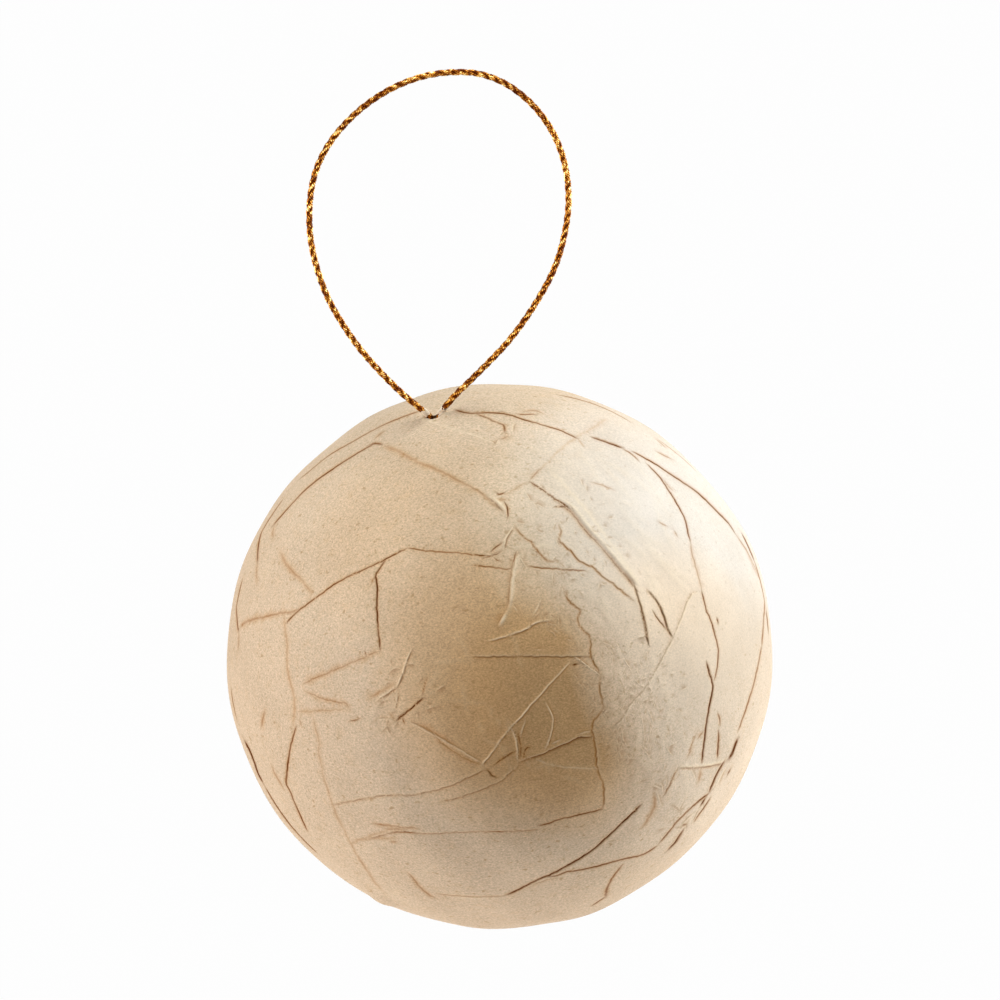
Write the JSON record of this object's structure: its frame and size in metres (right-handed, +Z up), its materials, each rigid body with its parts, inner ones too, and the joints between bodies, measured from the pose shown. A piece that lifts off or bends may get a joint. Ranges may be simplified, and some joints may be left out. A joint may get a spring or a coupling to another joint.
{
  "type": "papier-mache ball ornament",
  "caption": "Hollow papier-mache ball covered in lapped and creased kraft paper, with a gold cord loop to hang it by.",
  "frame": {"origin": "hang point: the inner side of the cord at the top of its loop", "axes": "+Z up, away from the ball along the line it hangs on; X along the loop's plane; the front of the ball faces -Y"},
  "size_m": [0.0801, 0.0805, 0.1348],
  "materials": {
    "kraft_paper": "matt, pasted and creased",
    "gold_cord": "metallic gold, twisted"
  },
  "bodies": {
    "root": {"paper_ball": "kraft_paper", "hanging_cord": "gold_cord", "cord_knot": "gold_cord"}
  },
  "joints": []
}
